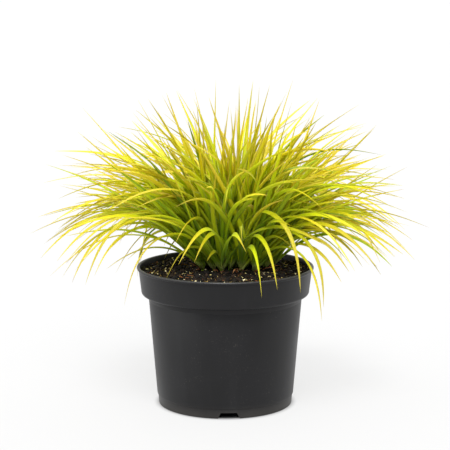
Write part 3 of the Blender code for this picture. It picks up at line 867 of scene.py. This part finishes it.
def build_pot(material):
    obj = turned(pot_outline(), POT_STEPS)
    cutters = [notch_blocks(), hole_plugs()]
    for cutter in cutters:
        cut = obj.modifiers.new("Cut", "BOOLEAN")
        cut.operation = "DIFFERENCE"
        cut.solver = "EXACT"
        cut.object = cutter
    mesh = evaluated_mesh(obj)
    remove(obj)
    for cutter in cutters:
        remove(cutter)
    smooth(mesh, 38.0)
    mesh.name = "nursery_pot"
    return finished("nursery_pot", mesh, material, "charcoal_plastic", "pot")


def plastic_material():
    """Charcoal moulded plastic: satin, with faint flow streaks, dust and a painted highlight along the top
    of the lip.
    """
    n = Nodes("charcoal_plastic_satin")
    place = n.position()
    height = n.add("ShaderNodeSeparateXYZ")
    n.join(place, height.inputs["Vector"])
    z = height.outputs["Z"]
    streaks = n.noise(n.position((60.0, 60.0, 3.0)), 1.0, 3.0)
    cloud = n.noise(place, 22.0, 5.0)
    speck = n.noise(place, 900.0, 2.0)
    colour = n.ramp(cloud, (0.30, srgb("0f0f10")), (0.70, srgb("141416")))
    colour = n.mix(n.spread(streaks, 0.45, 0.75, 0.0, 0.25), colour, srgb("1f1f21"))
    dust = n.math("MULTIPLY", n.spread(speck, 0.66, 0.74), n.spread(cloud, 0.42, 0.62))
    colour = n.mix(n.math("MULTIPLY", dust, 0.35), colour, srgb("6d675d"))
    # Painted highlight: the top of the lip is mixed towards a lighter grey, standing in for light catching
    # it.
    lip = n.spread(z, POT_HEIGHT - 1.6 * MM, POT_HEIGHT - 0.2 * MM)
    colour = n.mix(n.math("MULTIPLY", lip, 0.30), colour, srgb("5a5a5c"))
    ground = n.spread(z, 0.0, 14.0 * MM, 0.22, 0.0)
    colour = n.mix(n.math("MULTIPLY", ground, cloud), colour, srgb("77726a"))
    rough = n.spread(cloud, 0.25, 0.75, 0.38, 0.47)
    peel = n.noise(place, 1400.0, 2.0)
    normal = n.bump(peel, 0.10, 0.00010, n.bump(streaks, 0.08, 0.0006))
    return n.surface(colour, rough, normal, {"Specular IOR Level": 0.26})


# ---------------------------------------------------------------- the soil


def soil_height(x, y):
    """The loose surface of the mix: a mound with lumps and hollows."""
    radius = math.hypot(x, y)
    fall = (radius - SOIL_CROWN_RADIUS) / (SOIL_EDGE_RADIUS - SOIL_CROWN_RADIUS)
    fall = min(1.0, max(0.0, fall))
    mound = SOIL_CROWN_Z - (SOIL_CROWN_Z - SOIL_EDGE_Z) * fall**1.3
    place = Vector((x, y, 0.3)) / MM
    lumps = noise.fractal(place / 14.0, 0.9, 2.1, 4) * 1.5 * MM
    grain = noise.fractal(place / 3.2, 0.7, 2.2, 3) * 0.8 * MM
    return mound - 0.6 * MM + lumps + grain


def soil_mesh():
    """A closed body: the loose top, then down inside the pot's wall to its floor."""
    around = SOIL_STEPS
    top_radii = [SOIL_EDGE_RADIUS * ((i + 1) / SOIL_RINGS) ** 0.8 for i in range(SOIL_RINGS)]
    side = [
        (BAND_LOW_RADIUS - WALL - 1.0 * MM, BAND_UNDERSIDE + WALL + 1.2 * MM),
        (BODY_TOP_RADIUS - WALL - SOIL_GAP, BAND_UNDERSIDE + WALL + SOIL_GAP),
        (BODY_TOP_RADIUS - WALL - 0.6 * MM, BAND_UNDERSIDE),
        (BODY_LOW_RADIUS - WALL - 0.6 * MM, FLOOR_TOP + 3.5 * MM),
        (BODY_LOW_RADIUS - WALL - 3.6 * MM, FLOOR_TOP + SOIL_GAP),
    ]
    angles = [math.tau * j / around for j in range(around)]
    points = [(0.0, 0.0, soil_height(0.0, 0.0))]
    for radius in top_radii:
        for angle in angles:
            x, y = radius * math.cos(angle), radius * math.sin(angle)
            points.append((x, y, soil_height(x, y)))
    for radius, z in side:
        points += [(radius * math.cos(angle), radius * math.sin(angle), z) for angle in angles]
    points.append((0.0, 0.0, FLOOR_TOP + SOIL_GAP))
    rings = len(top_radii) + len(side)
    faces = [(0, 1 + j, 1 + (j + 1) % around) for j in range(around)]
    for i in range(rings - 1):
        low, high = 1 + i * around, 1 + (i + 1) * around
        for j in range(around):
            k = (j + 1) % around
            faces.append((low + j, high + j, high + k, low + k))
    last = 1 + (rings - 1) * around
    faces += [(last + (j + 1) % around, last + j, len(points) - 1) for j in range(around)]
    mesh = bpy.data.meshes.new("potting_mix_bed")
    mesh.from_pydata(points, [], faces)
    mesh.shade_smooth()
    return mesh


def lump_shapes(seed, count, levels, rough, stretch):
    """Small irregular bodies: (points, faces) to be scattered."""
    draw = random.Random(seed)
    shapes = []
    for _ in range(count):
        shape = bmesh.new()
        bmesh.ops.create_icosphere(shape, subdivisions=levels, radius=1.0)
        shift = Vector((draw.uniform(-50, 50), draw.uniform(-50, 50), draw.uniform(-50, 50)))
        scale = Vector((draw.uniform(*stretch), 1.0, draw.uniform(0.6, 0.9)))
        for vert in shape.verts:
            bulge = 1.0 + rough * noise.noise(vert.co * 1.3 + shift)
            bulge += 0.4 * rough * noise.noise(vert.co * 3.1 + shift)
            vert.co = Vector(a * b for a, b in zip(vert.co * bulge, scale))
        points = np.array([tuple(vert.co) for vert in shape.verts])
        faces = np.array([[vert.index for vert in face.verts] for face in shape.faces])
        shape.free()
        shapes.append((points, faces))
    return shapes


def chip_shapes(seed, count):
    """Bent flat slivers of bark and wood fibre."""
    draw = random.Random(seed)
    shapes = []
    for _ in range(count):
        steps, ring = 6, 6
        bow, taper = draw.uniform(-0.5, 0.5), draw.uniform(0.3, 0.8)
        points = []
        for i in range(steps + 1):
            u = i / steps
            width = 0.35 + 0.65 * math.sin(math.pi * (0.08 + 0.84 * u)) ** taper
            width *= draw.uniform(0.8, 1.15)
            for j in range(ring):
                angle = math.tau * j / ring
                y = width * math.cos(angle) * 0.22
                z = width * math.sin(angle) * 0.12 + bow * (u - 0.5) ** 2
                points.append((2 * u - 1, y, z))
        faces = []
        for i in range(steps):
            for j in range(ring):
                k = (j + 1) % ring
                low, high = i * ring, (i + 1) * ring
                faces.append((low + j, high + j, high + k))
                faces.append((low + j, high + k, low + k))
        for j in range(1, ring - 1):
            faces.append((0, j, j + 1))
            faces.append((steps * ring, steps * ring + j + 1, steps * ring + j))
        shapes.append((np.array(points), np.array(faces)))
    return shapes


def scattered(name, shapes, count, seed, sizes, lift):
    """Many small bodies lying on the soil, as one mesh with a tone for each."""
    slant = 0.35
    draw = random.Random(seed)
    points, faces, tones = [], [], []
    total = 0
    for _ in range(count):
        base, own = shapes[draw.randrange(len(shapes))]
        size = draw.uniform(*sizes) * MM
        radius = (SOIL_EDGE_RADIUS - 0.6 * size - SOIL_GAP) * math.sqrt(draw.random())
        angle = draw.uniform(0.0, math.tau)
        x, y = radius * math.cos(angle), radius * math.sin(angle)
        turn = Matrix.Rotation(draw.uniform(0, math.tau), 3, "Z")
        tilt = Matrix.Rotation(draw.gauss(0.0, slant), 3, "X")
        tilt = tilt @ Matrix.Rotation(draw.gauss(0.0, slant), 3, "Y")
        moved = base @ np.array(turn @ tilt).T * size * 0.5
        moved += np.array((x, y, soil_height(x, y) + lift * size))
        points.append(moved)
        faces.append(own + total)
        tones.append(np.full(len(base), draw.random()))
        total += len(base)
    mesh = bpy.data.meshes.new(name)
    mesh.from_pydata(np.concatenate(points).tolist(), [], np.concatenate(faces).tolist())
    set_floats(mesh, "tone", np.concatenate(tones))
    mesh.shade_smooth()
    return mesh


def soil_material():
    n = Nodes("potting_mix_peat")
    place = n.position()
    coarse = n.noise(place, 220.0, 6.0, 0.65)
    fine = n.noise(place, 1100.0, 4.0, 0.7)
    colour = n.ramp(coarse, (0.30, srgb("060403")), (0.52, srgb("100b07")), (0.74, srgb("23180f")))
    colour = n.mix(n.spread(fine, 0.60, 0.72, 0.0, 0.5), colour, srgb("5b4128"))
    normal = n.bump(fine, 0.6, 0.0006, n.bump(coarse, 0.7, 0.0016))
    return n.surface(colour, n.spread(coarse, 0.3, 0.7, 0.82, 0.98), normal, {"Specular IOR Level": 0.25})


def grain_material(name, dark, middle, light, roughness=0.9):
    """Loose bits whose colour differs from one to the next."""
    n = Nodes(name)
    place = n.position()
    spots = n.noise(place, 700.0, 4.0)
    tone = n.math("ADD", n.attribute("tone"), n.math("MULTIPLY", n.math("SUBTRACT", spots, 0.5), 0.6))
    colour = n.ramp(tone, (0.05, srgb(dark)), (0.5, srgb(middle)), (0.95, srgb(light)))
    normal = n.bump(n.noise(place, 1500.0, 3.0), 0.5, 0.0004)
    rough = n.spread(spots, 0.3, 0.7, roughness - 0.1, roughness)
    return n.surface(colour, rough, normal, {"Specular IOR Level": 0.3})


def build_soil():
    bed = soil_mesh()
    finished("potting_mix_bed", bed, soil_material(), "potting_mix", "soil")
    peat = grain_material("peat_crumb", "070503", "130d08", "2c1e12")
    bark = grain_material("bark_chip", "241309", "482612", "7a4c28", 0.8)
    fibre = grain_material("wood_fibre", "66491f", "a8863f", "dcc47c", 0.85)
    perlite = grain_material("perlite_grain", "9a8652", "c8b67c", "f2e6bc", 0.95)
    lumps = lump_shapes(11, 10, 2, 0.9, (0.9, 1.5))
    chips = chip_shapes(12, 10)
    bits = [
        ("peat_crumbs", lumps, 1200, 21, (1.2, 4.6), 0.10, peat),
        ("peat_dust", lump_shapes(13, 6, 1, 0.9, (0.9, 1.4)), 2600, 22, (0.5, 1.4), 0.25, peat),
        ("bark_chips", chips, 150, 23, (3.0, 7.0), 0.10, bark),
        ("wood_fibres", chips, 300, 24, (1.6, 4.2), 0.24, fibre),
        ("perlite_grains", lump_shapes(14, 8, 1, 0.7, (0.9, 1.3)), 300, 25, (0.8, 2.2), 0.42, perlite),
    ]
    for name, shapes, count, seed, sizes, lift, material in bits:
        mesh = scattered(name, shapes, count, seed, sizes, lift)
        finished(name, mesh, material, "potting_mix")


# ---------------------------------------------------------------- making the dry bits


def straw_material():
    """Dry brown leaf, paler along its lines."""
    n = Nodes("dry_sheath_straw")
    along = n.attribute("along")
    lines = n.vector(n.math("MULTIPLY", n.attribute("across"), 6.0), along, n.attribute("hue"))
    streak = n.noise(lines, 3.0, 4.0)
    age = n.math("ADD", streak, n.math("MULTIPLY", along, 0.2))
    colour = n.ramp(age, (0.3, srgb("4e2412")), (0.55, srgb("8a4f2a")), (0.85, srgb("c79a63")))
    return n.surface(colour, 0.75, n.bump(streak, 0.5, 0.0003), {"Specular IOR Level": 0.3})


def dry_strand(draw):
    """A thin dry strand lying round the front of the crown."""
    angle = draw.uniform(math.radians(200), math.radians(340))
    spot = CROWN_CENTRE + Vector((36 * math.cos(angle), 30 * math.sin(angle), 0.0)) * MM
    spot.z = soil_height(spot.x, spot.y) + 0.8 * MM
    turn = angle + draw.gauss(0, 0.8)
    lean = math.radians(draw.uniform(48, 72))
    droop = math.radians(draw.uniform(20, 60))
    length = draw.uniform(9, 20) * MM
    width = draw.uniform(1.0, 1.8) * MM
    return (spot, turn, lean, droop, length, width)


def build_dry_sheath(material):
    draw = random.Random(77)
    curl = (SHEATH_BASE, SHEATH_TURN, math.radians(25), math.radians(120), SHEATH_LENGTH, SHEATH_WIDTH)
    grids = [leaf_grid(curl, draw, 14, STRAW_FOLD, 0.8, 0.05)]
    for _ in range(STRANDS):
        strand = dry_strand(draw)
        grids.append(leaf_grid(strand, draw, 12, STRAW_FOLD, draw.gauss(0, 1.5), 0.08))
    hues = [draw.random() for _ in grids]
    mesh = leaves_mesh("dry_sheaths", grids, [0.5] * len(grids), hues)
    finished("dry_sheaths", mesh, material, "dry_leaf", "dry_sheath")


# ---------------------------------------------------------------- floor, light, camera


def build_floor():
    size = FLOOR_HALF_SIZE
    mesh = bpy.data.meshes.new("studio_floor")
    corners = [(-size, -size, 0.0), (size, -size, 0.0), (size, size, 0.0), (-size, size, 0.0)]
    mesh.from_pydata(corners, [], [(0, 1, 2, 3)])
    floor = link(bpy.data.objects.new("studio_floor", mesh))
    floor.location.z = -FLOOR_DROP
    n = Nodes("studio_floor_white")
    constants = {"Specular IOR Level": 0.1, "Emission Color": (1.0, 1.0, 1.0, 1.0)}
    away = n.add("ShaderNodeVectorMath", operation="LENGTH")
    n.join(n.position(), away.inputs[0])
    # The glow is held back under the foot and just round it, so the floor there is darker: a painted
    # contact shadow.
    inner, outer = FOOT_RADIUS - FLOOR_GLOW_EDGE, FOOT_RADIUS + FLOOR_GLOW_EDGE
    glow = n.spread(away.outputs["Value"], inner, outer, 0.0, FLOOR_GLOW)
    mesh.materials.append(n.surface((0.12, 0.12, 0.12), 0.9, None, constants))
    n.join(glow, n.shader.inputs["Emission Strength"])


def strength_over(tree, value, low, high, to_low, to_high):
    """The light of the studio's walls, rising smoothly while a value goes from low to high."""
    node = tree.nodes.new("ShaderNodeMapRange")
    node.interpolation_type = "SMOOTHSTEP"
    tree.links.new(value, node.inputs["Value"])
    limits = {"From Min": low, "From Max": high, "To Min": to_low, "To Max": to_high}
    for name, limit in limits.items():
        node.inputs[name].default_value = limit
    return node.outputs["Result"]


def build_world():
    """A white studio, seen as plain white, whose light is weaker on the side in front of the pot."""
    world = bpy.data.worlds.new("studio_world")
    world.use_nodes = True
    tree = world.node_tree
    background = tree.nodes["Background"]
    background.inputs["Color"].default_value = (1.0, 1.0, 1.0, 1.0)
    place = tree.nodes.new("ShaderNodeTexCoord").outputs["Generated"]
    behind = tree.nodes.new("ShaderNodeVectorMath")
    behind.operation = "DOT_PRODUCT"
    behind.inputs[1].default_value = (-0.24, 1.0, 0.0)
    tree.links.new(place, behind.inputs[0])
    above = tree.nodes.new("ShaderNodeSeparateXYZ")
    tree.links.new(place, above.inputs["Vector"])
    most = tree.nodes.new("ShaderNodeMath")
    most.operation = "MAXIMUM"
    walls = strength_over(tree, behind.outputs["Value"], -0.75, 0.25, 0.10, 1.2)
    tree.links.new(walls, most.inputs[0])
    ceiling = strength_over(tree, above.outputs["Z"], 0.35, 0.90, 0.0, 0.85)
    tree.links.new(ceiling, most.inputs[1])
    seen = tree.nodes.new("ShaderNodeMix")
    seen.inputs["B"].default_value = BACKGROUND
    camera_ray = tree.nodes.new("ShaderNodeLightPath").outputs["Is Camera Ray"]
    tree.links.new(camera_ray, seen.inputs["Factor"])
    tree.links.new(most.outputs["Value"], seen.inputs["A"])
    tree.links.new(seen.outputs["Result"], background.inputs["Strength"])
    bpy.context.scene.world = world


def build_lights():
    # strength, soft angle and height above the floor in degrees, and the side it comes from
    suns = [
        ("key", 2.5, 20, 62, 262),
        ("fill", 2.3, 40, 46, 280),
        ("back", 0.3, 60, 60, 80),
        ("side_left", 1.5, 60, 12, 202),
        ("side_right", 0.6, 60, 8, 350),
    ]
    for name, strength, angle, height, side in suns:
        data = bpy.data.lights.new(name, "SUN")
        data.energy = strength
        data.angle = math.radians(angle)
        sun = link(bpy.data.objects.new(name, data))
        rise, turn = math.radians(height), math.radians(side)
        level = math.cos(rise)
        away = Vector((level * math.cos(turn), level * math.sin(turn), math.sin(rise)))
        sun.rotation_euler = away.to_track_quat("Z", "Y").to_euler()
        sun.location = away * SUN_DISTANCE


def build_camera():
    data = bpy.data.cameras.new("camera")
    data.sensor_width = 36.0
    data.lens = CAMERA_LENS
    data.clip_end = 200.0
    camera = link(bpy.data.objects.new("camera", data))
    camera.location = CAMERA_PLACE
    camera.rotation_euler = (math.pi / 2 - CAMERA_DOWN, 0.0, 0.0)
    bpy.context.scene.camera = camera
    bpy.context.scene.view_settings.view_transform = "Standard"


build_camera()
build_floor()
build_world()
build_lights()
build_pot(plastic_material())
build_soil()
build_shoots(leaf_material())
build_dry_sheath(straw_material())
